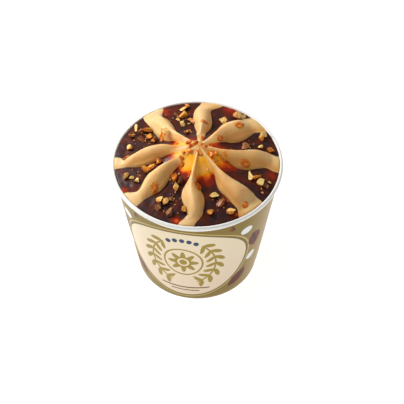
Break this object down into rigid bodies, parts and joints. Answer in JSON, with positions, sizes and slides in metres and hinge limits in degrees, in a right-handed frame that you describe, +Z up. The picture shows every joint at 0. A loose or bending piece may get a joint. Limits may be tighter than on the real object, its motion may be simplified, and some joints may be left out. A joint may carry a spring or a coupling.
{
  "type": "gelato cup",
  "caption": "Printed paper cup of coffee gelato piped in curved folds that meet in a peak, with dark sauce and chopped hazelnuts in the furrows between them.",
  "frame": {"origin": "middle of the ring that the cup stands on", "axes": "+Z up along the cup's axis; -Y is the front of the cup's print"},
  "size_m": [0.081, 0.081, 0.0781],
  "materials": {
    "printed_paper": "coated board printed in olive gold and cream, satin; the rolled rim is plain white",
    "white_paper": "plain white coated paper, matt",
    "coffee_gelato": "smooth frozen cream, coffee coloured, soft sheen",
    "dark_sauce": "thick dark coffee sauce, amber where it is thin, soft gloss"
  },
  "bodies": {
    "root": {"cup_wall": "printed_paper", "cup_base": "white_paper", "gelato": "coffee_gelato", "sauce_1": "dark_sauce", "sauce_2": "dark_sauce", "sauce_3": "dark_sauce", "sauce_4": "dark_sauce", "sauce_5": "dark_sauce", "sauce_6": "dark_sauce", "sauce_7": "dark_sauce", "sauce_8": "dark_sauce"}
  },
  "joints": []
}
